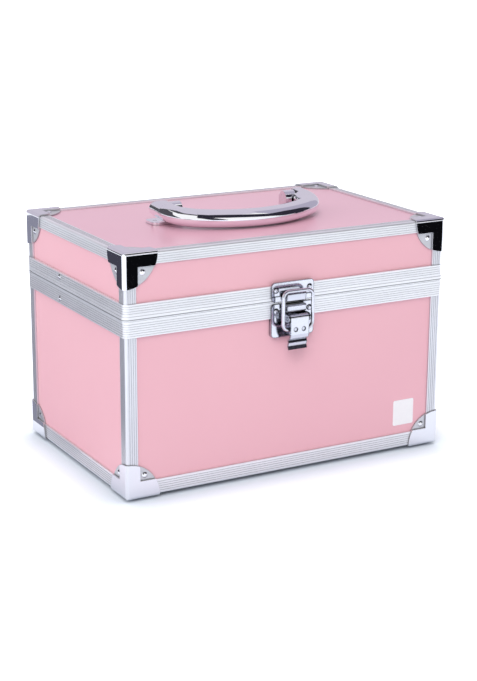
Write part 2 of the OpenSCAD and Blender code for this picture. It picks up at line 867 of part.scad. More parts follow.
module latch_base() {
    top = -seam_gap / 2 - 1;
    skirt_top = -seam_gap / 2 - body_band_h - 0.1;
    color(CHROME) at_latch() difference() {
        union() {
            slab(0, latch_t) plate_outline(-base_bottom, top);
            slab(-band_proud - profile_t, latch_t) difference() {
                intersection() {
                    plate_outline(-base_bottom, top);
                    translate([-latch_w, -2 * base_bottom])
                        square([2 * latch_w, 2 * base_bottom + skirt_top]);
                }
                translate([0, (-base_bottom + top) / 2])
                    rounded_rect(latch_w - 2 * latch_t, top + base_bottom - 2 * latch_t,
                                 latch_r - latch_t);
            }
            pressed_nose(-boss_low, -boss_top, 0);
            both_sides() translate([cheek_in + cheek_t / 2, 0, 0]) along_width(cheek_t) cheek_section();
        }
        latch_rivet_holes(-latch_rivet_down());
        rod_x(-latch_w, latch_w, -hasp_out, -lever_pin_z, lever_pin_r + rivet_gap);
    }
}

module latch_pin() {
    half = cheek_in + cheek_t;
    color(CHROME) at_latch() rod_x(-half, half, -hasp_out, -lever_pin_z, lever_pin_r);
}

// One quarter of the hasp's wire: half a bar, a corner, half a side
module hasp_quarter(half_w, half_h) {
    along = half_w - hasp_r;
    up = half_h - hasp_r;
    bend_wire_r = hasp_wire_r - wire_step;
    rod_x(-wire_lap, along, 0, half_h, hasp_wire_r);
    translate([along, 0, up]) rotate([90, 0, 0]) rotate([0, 0, -wire_turn])
        rotate_extrude(angle = 90 + 2 * wire_turn) translate([hasp_r, 0]) circle(bend_wire_r);
    translate([half_w, 0, -wire_lap]) cylinder(r = hasp_wire_r, h = up + wire_lap);
}

module latch_hasp() {
    half_w = hasp_w / 2 - hasp_wire_r;
    half_h = (hasp_top - hasp_low) / 2 - hasp_wire_r;
    color(CHROME) at_latch() translate([0, -hasp_out, (hasp_top + hasp_low) / 2])
        for (mx = [0, 1], mz = [0, 1]) mirror([mx, 0, 0]) mirror([0, 0, mz])
            hasp_quarter(half_w, half_h);
}

// The lever's outline: a curl round its pin, a plate, and a finger tab that is bent in and out again
module lever_section() {
    back = lever_face - lever_t;
    ridge = lever_face - tab_in;
    tab_z = -lever_bend - 5.6;
    tab_mid = tab_z - tab_h / 2;
    translate([hasp_out, -lever_pin_z]) circle(curl_r);
    polygon([
        [back, -lever_pin_z], [lever_face, -lever_pin_z], [lever_face, -lever_bend],
        [lever_face - 0.8, -lever_bend - 2.4], [ridge - 0.7, tab_z + 1.3], [ridge, tab_z],
        [ridge - 0.9, tab_mid], [ridge, tab_z - tab_h], [ridge - 0.7, tab_z - tab_h - 0.3],
        [ridge - 0.9 - lever_t, tab_mid], [ridge - 1.5, tab_z], [ridge - 1.9, tab_z + 1.6],
        [lever_face - 0.7 - lever_t, -lever_bend - 1.8], [back, -lever_bend + 0.2]
    ]);
}

module latch_lever() {
    color(CHROME) at_latch() difference() {
        union() {
            along_width(lever_w) lever_section();
            for (x = [-1, 1]) translate([x * clip_x, 0, 0]) along_width(clip_w)
                translate([hasp_out, -hasp_bar_z]) circle(clip_r);
        }
        rod_x(-latch_w, latch_w, -hasp_out, -lever_pin_z, lever_pin_r + run_gap);
        rod_x(-latch_w, latch_w, -hasp_out, -hasp_bar_z, hasp_wire_r + run_gap);
        for (x = [-1, 1]) translate([x * clip_x, -lever_face, -hasp_bar_z + 0.3]) rotate([90, 0, 0])
            translate([0, 0, -clip_mark_depth]) cylinder(r = clip_mark_r, h = cut);
    }
}

// ---------- handle ----------

module grip_section(slimmer) {
    r = min(grip_r, grip_h / 2 - 0.1);
    rounded_rect(grip_w - 2 * slimmer, grip_h - 2 * slimmer, r - slimmer);
}

// Half of the bow, lying level in front of the pivot axis. Each run of it is a hair slimmer
// than the run before and starts inside it, so that the runs fuse.
module half_bow() {
    shoulder = 90 - bow_angle;
    straight = bow_straight + bow_lap;
    translate([0, bow_front_r - bow_reach, 0]) rotate([0, 0, -90])
        rotate_extrude(angle = bow_angle) translate([bow_front_r, 0]) grip_section(0);
    translate([bow_half_span - bow_shoulder_r, -bow_straight, 0]) rotate([0, 0, -shoulder - 0.5])
        rotate_extrude(angle = shoulder + 0.5) translate([bow_shoulder_r, 0]) grip_section(bow_step);
    translate([bow_half_span, 0, 0]) intersection() {
        translate([0, bow_tail + cut, 0]) rotate([90, 0, 0])
            linear_extrude(straight + bow_tail + cut) grip_section(2 * bow_step);
        union() {
            rod_x(-grip_w, grip_w, 0, 0, bow_tail);
            translate([-grip_w, -2 * straight, -bow_tail])
                cube([2 * grip_w, 2 * straight, 2 * bow_tail]);
        }
    }
}

module at_handle() {
    at_case() translate([0, handle_back, pivot_z]) children();
}

module handle_grip() {
    color(CHROME) at_handle() rotate([bow_drop, 0, 0]) difference() {
        union() both_sides() half_bow();
        both_sides() {
            translate([0, -bow_tail - tower_gap, -pivot_h])
                cube([end_in_x, 2 * (bow_tail + tower_gap), 2 * pivot_h]);
            rod_x(0, end_in_x + handle_pin_in + run_gap, 0, 0, handle_pin_r + run_gap);
        }
    }
}

module handle_bracket() {
    board = -pivot_h;
    difference() {
        union() {
            rod_x(tower_in_x, tower_out_x, 0, 0, tower_r);
            translate([tower_in_x, -tower_r, board]) cube([tower_w, 2 * tower_r, pivot_h]);
            translate([(tower_in_x + foot_plate_end) / 2, 0, board]) linear_extrude(foot_plate_t)
                rounded_rect(foot_plate_end - tower_in_x + 3, foot_plate_d, 4);
        }
        rod_x(tower_in_x - cut, tower_out_x + cut, 0, 0, handle_pin_r + rivet_gap);
        for (x = screw_xs()) translate([x, 0, board - cut])
            cylinder(r = rivet_r + rivet_gap, h = cut + foot_plate_t);
    }
}

module handle_bracket_right() {
    color(CHROME) at_handle() handle_bracket();
}

module handle_bracket_left() {
    color(CHROME) at_handle() mirror([1, 0, 0]) handle_bracket();
}

module handle_pins() {
    color(CHROME) at_handle() both_sides()
        rod_x(tower_in_x, end_in_x + handle_pin_in, 0, 0, handle_pin_r);
}

function screw_xs() = [tower_in_x + tower_w / 2, foot_plate_end - 3];

// Each place of a handle screw, at the top of the lid's board
module handle_screw_places() {
    both_sides() for (x = screw_xs())
        translate([x, handle_back, top_z - profile_t]) children();
}

module handle_screws() {
    head_h = 0.8;
    color(CHROME) at_case() handle_screw_places() translate([0, 0, -panel_t]) {
        cylinder(r = rivet_r, h = panel_t + foot_plate_t - 0.1);
        translate([0, 0, -head_h]) cylinder(r = flat_head_r, h = head_h);
    }
}

// ---------- tray and its linkage ----------

// The bore of a linkage rivet through the right wall, at a height from the seam
module link_hole(up) {
    rod_x(side_in_x - cut, band_x + cut, link_pos_y, seam_z + up, rivet_r + rivet_gap);
}

// A linkage rivet on the right: domed head outside, flat head inside
module link_rivet(up, inner_x) {
    translate([band_x, link_pos_y, seam_z + up]) rotate([0, 90, 0]) rivet(band_x - inner_x);
    rod_x(inner_x - 1, inner_x, link_pos_y, seam_z + up, flat_head_r);
}

module arm_pivot_rivets() {
    color(CHROME) at_case() both_sides() link_rivet(-link_down, arm_in_x - washer_gap);
}

module tray_link_rivets() {
    color(CHROME) at_case() both_sides() link_rivet(link_up, tray_side_x - tray_wall - washer_gap);
}

module tray_arm() {
    span_y = link_pos_y - arm_end_y;
    span_z = -link_down - arm_end_up;
    length = norm([span_y, span_z]);
    translate([arm_in_x, arm_end_y, seam_z + arm_end_up]) rotate([90, 0, 90])
        linear_extrude(arm_t) difference() {
            rotate(atan2(span_z, span_y)) {
                circle(arm_w / 2);
                translate([length, 0]) circle(arm_w / 2);
                translate([0, -arm_w / 2]) square([length, arm_w]);
            }
            circle(rivet_r + run_gap);
            translate([span_y, span_z]) circle(rivet_r + run_gap);
        }
}

module tray_arm_right() {
    color(SILVER) at_case() tray_arm();
}

module tray_arm_left() {
    color(SILVER) at_case() mirror([1, 0, 0]) tray_arm();
}

module long_divider(grow = 0) {
    reach = tray_in_w / 2 + divider_slot - divider_gap + grow;
    translate([-reach, divider_y - grow, tray_floor_z])
        cube([2 * reach, tray_wall + 2 * grow, tray_z1 - tray_floor_z + grow]);
}

module cross_dividers(count, y0, depth, grow) {
    pitch = (tray_in_w + tray_wall) / count;
    reach = divider_slot - divider_gap + grow;
    for (i = [1 : 1 : count - 1])
        translate([-tray_in_w / 2 - tray_wall + i * pitch - grow, y0 - reach, tray_floor_z])
            cube([tray_wall + 2 * grow, depth + 2 * reach, tray_z1 - tray_floor_z + grow]);
}

module short_dividers(grow = 0) {
    cross_dividers(front_cells, tray_y0 + tray_wall, front_row_d, grow);
    cross_dividers(back_cells, divider_y + tray_wall, tray_d - front_row_d - 3 * tray_wall, grow);
}

module tray_dividers() {
    color(WHITE) at_case() {
        difference() {
            long_divider();
            short_dividers(divider_gap);
        }
        short_dividers();
    }
}

module tray() {
    ear_r = boss_r;
    color(WHITE) at_case() difference() {
        union() {
            translate([0, tray_y0 + tray_d / 2, tray_z0]) linear_extrude(tray_h)
                rounded_rect(2 * tray_side_x, tray_d, 4);
            both_sides() {
                rod_x(tray_side_x - tray_wall, arm_in_x - washer_gap, arm_end_y,
                      seam_z + arm_end_up, boss_r);
                rod_x(tray_side_x - tray_wall, side_in_x - 0.5, link_pos_y, seam_z + link_up, ear_r);
                translate([tray_side_x - tray_wall, link_pos_y - ear_r, tray_z1 - cut])
                    cube([tray_wall, 2 * ear_r, link_up - tray_top + cut]);
            }
        }
        difference() {
            union() {
                translate([0, tray_y0 + tray_d / 2, tray_floor_z]) linear_extrude(tray_h)
                    rounded_rect(tray_in_w, tray_d - 2 * tray_wall, 3);
                long_divider(divider_gap);
                short_dividers(divider_gap);
            }
            translate([0, 0, tray_z1]) both_sides()
                translate([tray_side_x - tray_wall, -case_d, 0]) cube([cell, 2 * case_d, cell]);
        }
        both_sides() {
            rod_x(tray_side_x - tray_wall - cut, side_in_x, arm_end_y, seam_z + arm_end_up,
                  rivet_r + rivet_gap);
            rod_x(tray_side_x - tray_wall - cut, side_in_x, link_pos_y, seam_z + link_up,
                  rivet_r + run_gap);
        }
    }
}

module tray_pivot_rivets() {
    head_x = arm_out_x + 0.2;
    color(CHROME) at_case() both_sides() {
        rod_x(tray_side_x - tray_wall, head_x, arm_end_y, seam_z + arm_end_up, rivet_r);
        rod_x(head_x, head_x + 0.6, arm_end_y, seam_z + arm_end_up, flat_head_r);
    }
}

// ---------- nodes ----------

front_panel();
back_panel();
left_panel();
right_panel();
bottom_panel();
body_corner_posts();
bottom_rail("front");  // bottom_rail_front
bottom_rail("back");  // bottom_rail_back
bottom_rail("left");  // bottom_rail_left
bottom_rail("right");  // bottom_rail_right
body_rim();
bottom_cap(0, 0);  // bottom_cap_front_left
bottom_cap(1, 0);  // bottom_cap_front_right
bottom_cap(0, 1);  // bottom_cap_back_left
bottom_cap(1, 1);  // bottom_cap_back_right
bottom_cap_rivets();
feet();
body_lining();
latch_base();
latch_base_rivets();
latch_pin();
hinge_body_leaves();
hinge_pins();
hinge_rivets(false);  // hinge_body_rivets
arm_pivot_rivets();
lid_top_panel();
lid_front_panel();
lid_back_panel();
lid_left_panel();
lid_right_panel();
lid_corner_posts();
top_rail("front");  // top_rail_front
top_rail("back");  // top_rail_back
top_rail("left");  // top_rail_left
top_rail("right");  // top_rail_right
lid_rim();
top_cap(0, 0);  // top_cap_front_left
top_cap(1, 0);  // top_cap_front_right
top_cap(0, 1);  // top_cap_back_left
top_cap(1, 1);  // top_cap_back_right
top_cap_rivets();
lid_lining();
lid_mirror();  // mirror
strike_plate();
strike_rivets();
hinge_lid_leaves();
hinge_rivets(true);  // hinge_lid_rivets
handle_bracket_left();
handle_bracket_right();
handle_screws();
handle_pins();
tray_link_rivets();
handle_grip();
latch_lever();
latch_hasp();
tray_arm_left();
tray_arm_right();
tray();
tray_dividers();
tray_pivot_rivets();
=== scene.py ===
"""Looks for the makeup storage case: materials, a blank label, a soft studio and the camera."""

import math

import bmesh
import bpy
from mathutils import Matrix, Vector


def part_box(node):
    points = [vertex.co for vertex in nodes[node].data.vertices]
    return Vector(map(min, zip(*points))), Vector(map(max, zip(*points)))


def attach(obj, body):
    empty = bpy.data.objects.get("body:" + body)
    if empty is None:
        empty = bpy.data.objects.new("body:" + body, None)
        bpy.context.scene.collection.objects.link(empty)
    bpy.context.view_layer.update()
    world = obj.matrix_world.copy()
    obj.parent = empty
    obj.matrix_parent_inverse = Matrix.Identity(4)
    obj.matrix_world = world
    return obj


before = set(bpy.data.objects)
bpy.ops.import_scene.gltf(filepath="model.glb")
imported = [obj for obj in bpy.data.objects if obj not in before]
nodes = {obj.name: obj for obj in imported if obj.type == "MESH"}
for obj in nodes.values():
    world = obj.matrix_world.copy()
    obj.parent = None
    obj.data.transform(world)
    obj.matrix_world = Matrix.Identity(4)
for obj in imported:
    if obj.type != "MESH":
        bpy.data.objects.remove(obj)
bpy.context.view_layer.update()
MM = 0.001

# Openness at which the painted shade in a crevice is darkest, and at which it no longer shows
CREVICE_SHADE_SPAN = (0.25, 0.95)
# Agreement of rounded and true normals at which an edge's painted dark reflection is darkest, and
# at which the edge is plain
PAINTED_EDGE_SPAN = (0.9, 0.995)


# ---------- node helpers ----------

def srgb(r, g, b):
    """Linear RGBA of an 8-bit screen colour."""
    def lin(v):
        v /= 255
        return v / 12.92 if v <= 0.04045 else ((v + 0.055) / 1.055) ** 2.4
    return (lin(r), lin(g), lin(b), 1.0)


class Shader:
    """A material with one Principled shader and short ways to add nodes to it."""

    def __init__(self, name, color, roughness, metallic=0.0):
        self.material = bpy.data.materials.new(name)
        self.material.use_nodes = True
        self.tree = self.material.node_tree
        self.bsdf = self.tree.nodes["Principled BSDF"]
        self.bsdf.inputs["Base Color"].default_value = color
        self.bsdf.inputs["Roughness"].default_value = roughness
        self.bsdf.inputs["Metallic"].default_value = metallic
        self.place = self.add("ShaderNodeTexCoord").outputs["Object"]

    def add(self, kind, **settings):
        node = self.tree.nodes.new(kind)
        for key, value in settings.items():
            setattr(node, key, value)
        return node

    def link(self, a, b):
        self.tree.links.new(a, b)

    def math(self, operation, a, b=None):
        """A math node on sockets or plain numbers."""
        node = self.add("ShaderNodeMath", operation=operation)
        for socket, value in zip(node.inputs, (a, b)):
            if value is None:
                continue
            if isinstance(value, (int, float)):
                socket.default_value = value
            else:
                self.link(value, socket)
        return node.outputs[0]

    def noise(self, scale, detail=3.0, rough=0.55, stretch=(1, 1, 1)):
        """Noise fixed to the case. An axis with a small stretch value has long marks along it."""
        mapping = self.add("ShaderNodeMapping")
        mapping.inputs["Scale"].default_value = stretch
        self.link(self.place, mapping.inputs["Vector"])
        node = self.add("ShaderNodeTexNoise")
        node.inputs["Scale"].default_value = scale
        node.inputs["Detail"].default_value = detail
        node.inputs["Roughness"].default_value = rough
        self.link(mapping.outputs[0], node.inputs["Vector"])
        return node.outputs["Fac"]

    def span(self, value, low, high, out_low, out_high):
        """A value remapped from low..high to out_low..out_high."""
        node = self.add("ShaderNodeMapRange")
        for key, number in zip(("From Min", "From Max", "To Min", "To Max"),
                               (low, high, out_low, out_high)):
            node.inputs[key].default_value = number
        self.link(value, node.inputs["Value"])
        return node.outputs[0]

    def blend_color(self, factor, a, b):
        node = self.add("ShaderNodeMix", data_type="RGBA")
        node.inputs["A"].default_value = a
        node.inputs["B"].default_value = b
        self.link(factor, node.inputs["Factor"])
        return node.outputs["Result"]

    def painted_crevice_shade(self, reach, darkest):
        """Painted shade: a factor that falls from 1 in the open to darkest in grooves and at
        joints, where shade falls.
        """
        node = self.add("ShaderNodeAmbientOcclusion", samples=8)
        node.inputs["Distance"].default_value = reach
        return self.span(node.outputs["AO"], *CREVICE_SHADE_SPAN, darkest, 1)

    def shaded(self, color, factor):
        """A colour darkened by a factor."""
        node = self.add("ShaderNodeMix", data_type="RGBA", blend_type="MULTIPLY")
        node.inputs["Factor"].default_value = 1.0
        self.link(color, node.inputs["A"])
        self.link(factor, node.inputs["B"])
        return node.outputs["Result"]

    def painted_dark_edges(self, color, width, darkest):
        """A colour darkened along sharp edges: a painted dark reflection, where a bright sheet
        mirrors the dark room.
        """
        rounded = self.add("ShaderNodeBevel", samples=6)
        rounded.inputs["Radius"].default_value = width
        agree = self.add("ShaderNodeVectorMath", operation="DOT_PRODUCT")
        self.link(rounded.outputs[0], agree.inputs[0])
        self.link(self.add("ShaderNodeNewGeometry").outputs["Normal"], agree.inputs[1])
        return self.shaded(color, self.span(agree.outputs["Value"], *PAINTED_EDGE_SPAN, darkest, 1))

    def feed(self, name):
        """The socket that feeds one of the shader's inputs."""
        return self.bsdf.inputs[name].links[0].from_socket

    def color(self, socket):
        self.link(socket, self.bsdf.inputs["Base Color"])

    def roughness(self, socket):
        self.link(socket, self.bsdf.inputs["Roughness"])

    def bump(self, height, strength, distance):
        node = self.add("ShaderNodeBump")
        node.inputs["Strength"].default_value = strength
        node.inputs["Distance"].default_value = distance
        self.link(height, node.inputs["Height"])
        self.link(node.outputs[0], self.bsdf.inputs["Normal"])


# ---------- materials ----------

PINK_SIDE = srgb(246, 189, 199)
PINK_SIDE_DEEP = srgb(244, 186, 197)
# The top's pink is set darker than the sides' pink: painted shade on the top face.
PINK_TOP_SHADED = srgb(219, 169, 187)
PINK_TOP_SHADED_DEEP = srgb(215, 165, 183)
ALU = srgb(248, 248, 252)
# The posts take the same aluminium set darker: painted shade.
ALU_POSTS_SHADED = srgb(231, 231, 237)

# Depths that the bumps stand for
GRAIN_DEPTH = 0.03 * MM
WAVE_DEPTH = 0.1 * MM
HAMMER_DEPTH = 0.25 * MM
# Radius that plated edges seem to be broken to
EDGE_ROUND = 0.3 * MM
# Width of the painted dark reflection along the edges of the latch's sheet
PAINTED_EDGE_WIDTH = 1.0 * MM
# Height of the line between lid and case, and how far from it the line's painted shade is darkest,
# and gone
SEAM_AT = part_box("body_rim")[1][2]
SEAM_SHADE_SPAN = (0.25 * MM, 0.45 * MM)
# The box round all eight corner caps. Their webs lie more than WEB_SUNK inside it.
CAPS_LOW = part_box("bottom_cap_front_left")[0]
CAPS_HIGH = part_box("top_cap_back_right")[1]
WEB_SUNK = 0.6 * MM


def laminate(name, light, deep, roughness, coat, grain):
    """Pink sheet with a slow drift of tone, painted shade where it meets other parts and, where it
    has grain, a fine pebbled skin.
    """
    s = Shader(name, light, roughness)
    s.bsdf.inputs["Specular IOR Level"].default_value = 0.4
    s.bsdf.inputs["Coat Weight"].default_value = coat
    s.bsdf.inputs["Coat Roughness"].default_value = 0.16
    drift = s.noise(9, detail=2)
    pink = s.blend_color(s.span(drift, 0.3, 0.7, 0, 1), light, deep)
    s.color(s.shaded(pink, s.painted_crevice_shade(1.6 * MM, 0.75)))
    if grain:
        s.roughness(s.span(s.noise(60), 0.35, 0.65, roughness - 0.03, roughness + 0.03))
        s.bump(s.noise(1500, detail=2), grain, GRAIN_DEPTH)
    return s.material


def aluminium(name, run, tone, roughness, seam=None):
    """Anodised extrusion: painted shade in its grooves, with faint drawing marks along its run.

    A seam, where it has one, is a height at which a fine line of painted shade runs round it, for
    the gap between lid and case."""
    s = Shader(name, tone, roughness, metallic=0.75)
    along = tuple(0.03 if axis == run else 1 for axis in "xyz")
    marks = s.noise(700, detail=2, stretch=along)
    dark = tuple(0.95 * c for c in tone[:3]) + (1.0,)
    drawn_and_painted_shade = s.blend_color(s.span(marks, 0.35, 0.65, 0, 1), tone, dark)
    drawn_and_painted_shade = s.shaded(drawn_and_painted_shade, s.painted_crevice_shade(0.7 * MM, 0.55))
    if seam is not None:
        height = s.add("ShaderNodeSeparateXYZ")
        s.link(s.place, height.inputs[0])
        off = s.math("ABSOLUTE", s.math("SUBTRACT", height.outputs[2], seam))
        drawn_and_painted_shade = s.shaded(drawn_and_painted_shade, s.span(off, *SEAM_SHADE_SPAN, 0.35, 1))
    s.color(drawn_and_painted_shade)
    s.roughness(s.span(s.noise(40), 0.3, 0.7, roughness - 0.04, roughness + 0.05))
    s.bump(marks, 0.04, GRAIN_DEPTH)
    return s.material


def plated(name, tone, roughness, wear=0.03, reach=1.2, darkest=0.25):
    """Shader of a plated sheet or casting: edges catch the light, hardly any texture.

    Crevices get painted shade within reach millimetres, down to the share darkest."""
    s = Shader(name, tone, roughness, metallic=1.0)
    plain = s.add("ShaderNodeRGB")
    plain.outputs[0].default_value = tone
    s.color(s.shaded(plain.outputs[0], s.painted_crevice_shade(reach * MM, darkest)))
    s.roughness(s.span(s.noise(120, detail=4), 0.35, 0.75, roughness, roughness + wear))
    edge = s.add("ShaderNodeBevel", samples=6)
    edge.inputs["Radius"].default_value = EDGE_ROUND
    wave = s.add("ShaderNodeBump")
    wave.inputs["Strength"].default_value = 0.05
    wave.inputs["Distance"].default_value = WAVE_DEPTH
    s.link(s.noise(90, detail=1), wave.inputs["Height"])
    s.link(edge.outputs[0], wave.inputs["Normal"])
    s.link(wave.outputs[0], s.bsdf.inputs["Normal"])
    return s


def pressed_web(s):
    """1 on the sunk webs of the corner caps, which lie below the caps' outer planes, else 0."""
    split_place = s.add("ShaderNodeSeparateXYZ")
    s.link(s.place, split_place.inputs[0])
    split_normal = s.add("ShaderNodeSeparateXYZ")
    s.link(s.add("ShaderNodeTexCoord").outputs["Normal"], split_normal.inputs[0])
    mask = 0.0
    for i in range(3):
        middle = (CAPS_LOW[i] + CAPS_HIGH[i]) / 2
        half = (CAPS_HIGH[i] - CAPS_LOW[i]) / 2
        off = s.math("ABSOLUTE", s.math("SUBTRACT", split_place.outputs[i], middle))
        sunk = s.math("LESS_THAN", off, half - WEB_SUNK)
        faces = s.math("GREATER_THAN", s.math("ABSOLUTE", split_normal.outputs[i]), 0.7)
        mask = s.math("MAXIMUM", s.math("MULTIPLY", sunk, faces), mask)
    return mask


def cap_chrome(polish=0.03, web_roughness=0.28, web_tone=0.72, web_metal=0.6, hammering=0.9):
    """Polished outside, hammered and duller on the pressed webs."""
    s = plated("cap_chrome", srgb(236, 236, 242), polish)
    web = pressed_web(s)
    s.color(s.shaded(s.feed("Base Color"), s.span(web, 0, 1, 1, web_tone)))
    s.roughness(s.span(web, 0, 1, polish, web_roughness))
    s.link(s.span(web, 0, 1, 1, web_metal), s.bsdf.inputs["Metallic"])
    hammer = s.add("ShaderNodeBump")
    hammer.inputs["Distance"].default_value = HAMMER_DEPTH
    s.link(s.noise(700, detail=1), hammer.inputs["Height"])
    s.link(s.math("MULTIPLY", web, hammering), hammer.inputs["Strength"])
    s.link(s.feed("Normal"), hammer.inputs["Normal"])
    s.link(hammer.outputs[0], s.bsdf.inputs["Normal"])
    return s.material


def stamped_chrome():
    """The latch's plated sheet, with painted shade in its gaps and a painted dark reflection along
    its edges.
    """
    s = plated("stamped_chrome", srgb(216, 217, 227), 0.1, wear=0.05, reach=5, darkest=0.03)
    s.color(s.painted_dark_edges(s.feed("Base Color"), PAINTED_EDGE_WIDTH, 0.05))
    return s.material


def fleece():
    """Black fleece-faced foam."""
    s = Shader("lining_fleece", srgb(38, 37, 40), 0.95)
    s.bsdf.inputs["Sheen Weight"].default_value = 0.5
    s.bsdf.inputs["Sheen Roughness"].default_value = 0.6
    fibres = s.noise(1400, detail=5, rough=0.7)
    s.color(s.blend_color(s.span(fibres, 0.35, 0.65, 0, 1), srgb(30, 29, 32), srgb(52, 50, 54)))
    s.bump(fibres, 0.6, 0.3 * MM)
    return s.material


def moulded(name, light, shade, roughness):
    """Moulded plastic with a fine spark-eroded skin."""
    s = Shader(name, light, roughness)
    s.color(s.blend_color(s.noise(14, detail=2), light, shade))
    s.roughness(s.span(s.noise(900), 0.3, 0.7, roughness - 0.05, roughness + 0.08))
    s.bump(s.noise(2500, detail=2), 0.12, 0.05 * MM)
    return s.material


def silvered_glass():
    """The lid's mirror."""
    s = Shader("mirror_silvering", srgb(226, 232, 232), 0.02, metallic=1.0)
    s.bsdf.inputs["Coat Weight"].default_value = 1.0
    s.roughness(s.span(s.noise(30), 0.4, 0.7, 0.015, 0.03))
    return s.material


def label_paper():
    """Blank white paper with a slight shine."""
    s = Shader("label_paper", srgb(250, 246, 248), 0.35)
    s.bsdf.inputs["Coat Weight"].default_value = 0.3
    s.color(s.blend_color(s.noise(300), srgb(255, 252, 253), srgb(250, 245, 248)))
    s.bump(s.noise(1800), 0.05, 0.02 * MM)
    return s.material


side_laminate = laminate("pink_laminate", PINK_SIDE, PINK_SIDE_DEEP, 0.48, coat=0.0, grain=0.03)
top_laminate = laminate("pink_laminate_glossy", PINK_TOP_SHADED, PINK_TOP_SHADED_DEEP, 0.3, coat=0.2, grain=0)
reeded = {run: aluminium("reeded_aluminium_" + run, run, tone, 0.32)
          for run, tone in (("x", ALU), ("y", ALU), ("z", ALU_POSTS_SHADED))}
banded = aluminium("banded_aluminium", "x", ALU, 0.34, SEAM_AT)
caps = cap_chrome()
polished = plated("polished_chrome", srgb(247, 247, 251), 0.05).material
stamped = stamped_chrome()
nickel = plated("nickel_plate", srgb(205, 205, 208), 0.25, wear=0.08).material
zinc = plated("zinc_plate", srgb(196, 198, 202), 0.35, wear=0.1).material
fleece_black = fleece()
tray_plastic = moulded("tray_plastic", srgb(240, 232, 236), srgb(234, 226, 231), 0.42)
rubber = moulded("foot_rubber", srgb(40, 40, 42), srgb(32, 32, 34), 0.75)
mirror_glass = silvered_glass()


def look_of(name):
    """The material of a CAD node."""
    if name == "lid_top_panel":
        return top_laminate
    if name.endswith("_panel"):
        return side_laminate
    if name.endswith(("_rail_front", "_rail_back")):
        return reeded["x"]
    if name.endswith(("_rail_left", "_rail_right")):
        return reeded["y"]
    if name.endswith("_posts"):
        return reeded["z"]
    if name in ("body_rim", "lid_rim"):
        return banded
    if name.endswith("_lining"):
        return fleece_black
    if name == "feet":
        return rubber
    if name == "mirror":
        return mirror_glass
    if name in ("tray", "tray_dividers"):
        return tray_plastic
    if name.startswith("tray_arm"):
        return zinc
    if "hinge" in name:
        return nickel
    if name.startswith(("latch", "strike")):
        return stamped
    if "_cap_" in name and not name.endswith("_rivets"):
        return caps
    return polished


for name, node in nodes.items():
    node.data.materials.clear()
    node.data.materials.append(look_of(name))


# ---------- label ----------

def rounded_plate(name, width, height, thickness, radius, material):
    """A thin plate in the XZ plane, its back on y = 0 and its face towards -Y."""
    steps = 6  # per corner
    outline = []
    for cx, cz, start in ((1, 1, 0), (-1, 1, 90), (-1, -1, 180), (1, -1, 270)):
        for i in range(steps + 1):
            angle = math.radians(start + 90 * i / steps)
            outline.append((cx * (width / 2 - radius) + radius * math.cos(angle),
                            cz * (height / 2 - radius) + radius * math.sin(angle)))
    bm = bmesh.new()
    face = bm.faces.new([bm.verts.new((x, -thickness, z)) for x, z in outline])
    grown = bmesh.ops.extrude_face_region(bm, geom=[face])
    for v in grown["geom"]:
        if isinstance(v, bmesh.types.BMVert):
            v.co.y = 0
    bmesh.ops.recalc_face_normals(bm, faces=bm.faces)
    mesh = bpy.data.meshes.new(name)
    bm.to_mesh(mesh)
    bm.free()
    plate = bpy.data.objects.new(name, mesh)
    bpy.context.collection.objects.link(plate)
    mesh.materials.append(material)
    return plate


LABEL_SIZE = (16.8 * MM, 18.2 * MM)
# Middle of the label, across and up
LABEL_CENTER = (92.8 * MM, 27.7 * MM)
LABEL_THICK = 0.15 * MM
LABEL_CORNER = 1.2 * MM
FRONT_FACE_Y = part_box("front_panel")[0][1]

label = rounded_plate("blank_label", *LABEL_SIZE, LABEL_THICK, LABEL_CORNER, label_paper())
label.location = (LABEL_CENTER[0], FRONT_FACE_Y, LABEL_CENTER[1])
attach(label, "case")


# ---------- studio ----------

FLOOR_SIZE = 14
FLOOR_OPEN = srgb(222, 229, 239)
# Tone of the painted shadow on the floor close to the case
FLOOR_PAINTED_SHADOW = srgb(190, 198, 210)
# How far the painted soft shadow reaches out from under the case
PAINTED_SHADOW_REACH = 0.035
# Openness of the floor at which it has its painted shadow tone, and its open tone
PAINTED_SHADOW_SPAN = (0.45, 0.95)
# Near and far distance of the floor's lift, and its strength at each
FLOOR_LIFT = (0.15, 0.55, 0.36, 1.0)
# Share of that lift that reflections see
MIRRORED_LIFT = 0.47
# Share of the white backdrop that lights the case
WORLD_LIGHT = 0.55
# Far cards stand this far from this point
SKY_DISTANCE = 3.0
SKY_CENTER = (0, 0, 0.17)


def one_face(name, corners):
    """A mesh of one face through the given corners."""
    mesh = bpy.data.meshes.new(name)
    mesh.from_pydata(corners, [], [tuple(range(len(corners)))])
    return mesh


def rectangle(name, width, depth):
    """A level rectangle about its own origin."""
    x, y = width / 2, depth / 2
    return one_face(name, [(-x, -y, 0), (x, -y, 0), (x, y, 0), (-x, y, 0)])


def put_on_stage(name, mesh, material, location, reflections_only=True):
    """Adds a mesh to the studio. A card is left to reflections alone."""
    mesh.materials.append(material)
    thing = bpy.data.objects.new(name, mesh)
    thing.location = location
    bpy.context.collection.objects.link(thing)
    if reflections_only:
        thing.visible_camera = False
        thing.visible_diffuse = False
        thing.visible_shadow = False
        thing.visible_transmission = False


def sky_point(azimuth, height):
    """A point far off, by its azimuth from the front towards the right and its height."""
    turn, rise = math.radians(azimuth), math.radians(height)
    level = math.cos(rise)
    aim = Vector((math.sin(turn) * level, -math.cos(turn) * level, math.sin(rise)))
    return aim * SKY_DISTANCE


